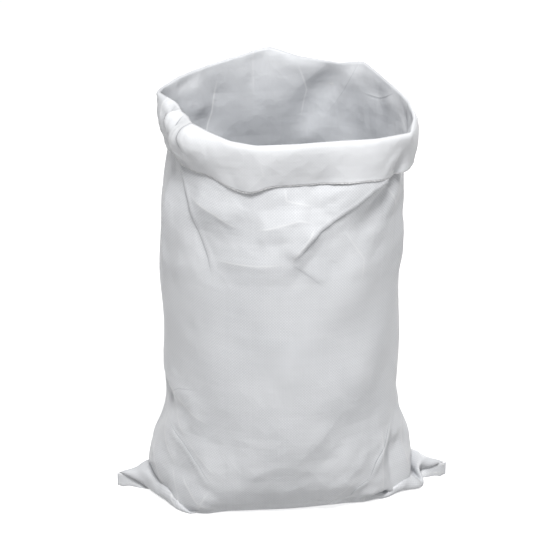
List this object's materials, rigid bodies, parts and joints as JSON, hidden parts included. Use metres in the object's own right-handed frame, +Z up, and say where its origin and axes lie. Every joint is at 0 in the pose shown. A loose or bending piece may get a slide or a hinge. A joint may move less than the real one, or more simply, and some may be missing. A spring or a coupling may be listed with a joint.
{
  "type": "woven sack",
  "caption": "Open woven sack standing upright, mouth rolled out into a cuff, flat pillow bottom closed by a folded, chain-stitched hem that ends in a corner ear on each side.",
  "frame": {"origin": "on the floor under the middle of the sack's overall box", "axes": "+Z up, +X to the right-hand corner ear seen from the front, +Y to the back, where the mouth stands highest"},
  "size_m": [0.542, 0.3488, 0.7016],
  "materials": {
    "woven_cloth": "satin sheen of flat polypropylene tapes in a fine plain weave, white with a slight blue",
    "cut_edge": "the same cloth, fused along its hot-cut edge",
    "thread": "matte white spun thread"
  },
  "bodies": {
    "root": {"front_panel": "woven_cloth", "back_panel": "woven_cloth", "base_front": "woven_cloth", "base_back": "woven_cloth", "ear_left": "woven_cloth", "ear_right": "woven_cloth", "bottom_hem": "woven_cloth", "upper_needle_thread": "thread", "upper_looper_thread": "thread", "lower_needle_thread": "thread", "lower_looper_thread": "thread", "cuff_front": "woven_cloth", "cuff_right": "woven_cloth", "cuff_back": "woven_cloth", "cuff_left": "woven_cloth", "mouth_edge": "cut_edge"}
  },
  "joints": []
}
